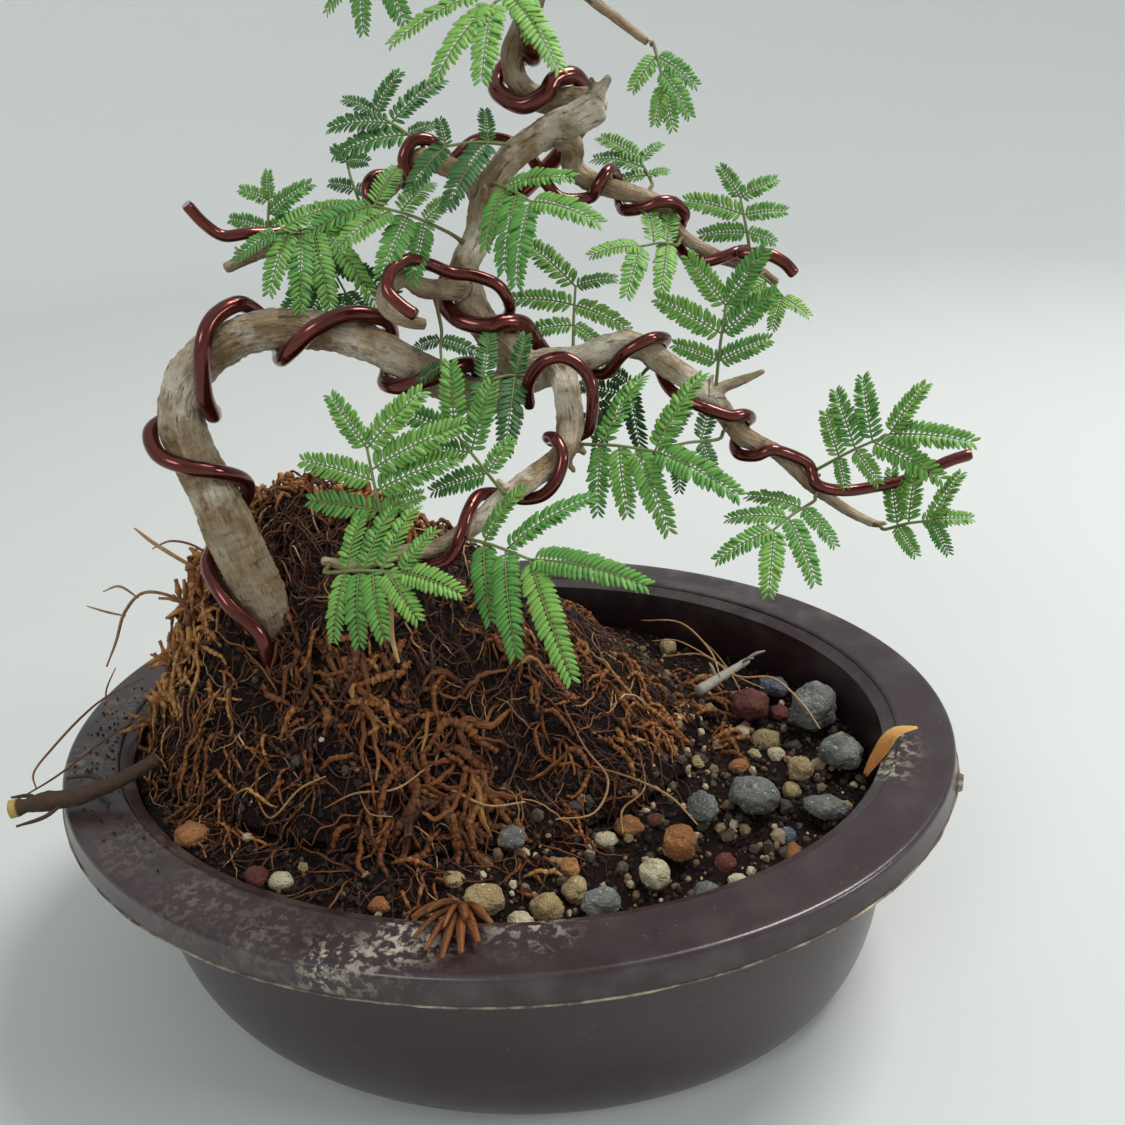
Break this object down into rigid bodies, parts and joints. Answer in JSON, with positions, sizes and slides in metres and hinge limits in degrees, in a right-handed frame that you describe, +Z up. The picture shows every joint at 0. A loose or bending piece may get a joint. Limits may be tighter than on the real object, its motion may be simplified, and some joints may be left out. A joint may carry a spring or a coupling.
{
  "type": "bonsai tree in an oval pot",
  "caption": "Small wired bonsai with an arched trunk and feathery compound leaves, growing from a mossy root mound in an oval skirted plastic pot.",
  "frame": {"origin": "middle of the pot's flat base, on the surface it stands on", "axes": "+Z up, +X along the pot's long axis towards the end that holds the gravel, the trunk's arch leaves the mound on the -X side, and -Y is the side that the lower front branch reaches towards"},
  "size_m": [0.2124, 0.1704, 0.2513],
  "materials": {
    "pot_plastic": "moulded maroon-brown plastic, soft satin sheen on the rim, dusty lime crusts and scuffs",
    "peat": "damp dark gritty potting peat",
    "rooty_peat": "dark peat held together by fine rust-brown roots",
    "moss": "dry golden-brown sphagnum strands",
    "bark": "thin tan bark with pale grey patches, fine cracks and knots",
    "wire": "anodised dark copper-red, glossy",
    "leaf": "soft green feathery leaflets, paler on top, dark in the shade",
    "stone_grey": "rough grey gravel",
    "stone_blue": "rough blue-grey gravel",
    "stone_red": "rough red-brown lava grit",
    "stone_orange": "orange pumice grit",
    "stone_tan": "tan to yellow grit",
    "stone_cream": "cream pebble with a small hole",
    "dead_root": "dark crumbly dead root, cut end showing yellow wood",
    "grey_wood": "weathered grey twig",
    "dry_leaf": "orange-brown withered leaf"
  },
  "bodies": {
    "root": {"arch_wire": "wire", "dry_leaf": "dry_leaf", "grey_twig": "grey_wood", "hook_wire": "wire", "leaf_dark_fan": "leaf", "leaf_dark_left": "leaf", "leaf_far_down": "leaf", "leaf_far_end": "leaf", "leaf_far_up": "leaf", "leaf_front_big": "leaf", "leaf_hanging_back": "leaf", "leaf_hanging_front": "leaf", "leaf_inner_right": "leaf", "leaf_junction": "leaf", "leaf_left_tip": "leaf", "leaf_low_end": "leaf", "leaf_low_front": "leaf", "leaf_low_left": "leaf", "leaf_middle_back": "leaf", "leaf_middle_left": "leaf", "leaf_pale_left": "leaf", "leaf_right_up": "leaf", "leaf_small_hook": "leaf", "leaf_top": "leaf", "leaf_top_front": "leaf", "leaf_top_left": "leaf", "leaf_top_right": "leaf", "leaf_trunk_front": "leaf", "leaf_trunk_left": "leaf", "leaf_under_long": "leaf", "leaf_upper_back": "leaf", "leaf_upper_down": "leaf", "leaf_upper_end": "leaf", "leaf_upper_yellow": "leaf", "long_right_wire": "wire", "low_front_wire": "wire", "moss_crown": "moss", "moss_front": "moss", "moss_left": "moss", "moss_right": "moss", "pot": "pot_plastic", "potting_soil": "peat", "root_ball": "rooty_peat", "root_over_rim": "dead_root", "stone_blue_grey": "stone_blue", "stone_broad_grey": "stone_grey", "stone_cream": "stone_cream", "stone_flat_grey": "stone_grey", "stone_front_grey": "stone_grey", "stone_orange": "stone_orange", "stone_red": "stone_red", "stone_small_grey": "stone_grey", "stone_tall_grey": "stone_grey", "stone_tan": "stone_tan", "stone_wall_grey": "stone_grey", "stone_yellow": "stone_tan", "trunk_and_branches": "bark", "trunk_wire": "wire", "upper_wire": "wire"}
  },
  "joints": []
}
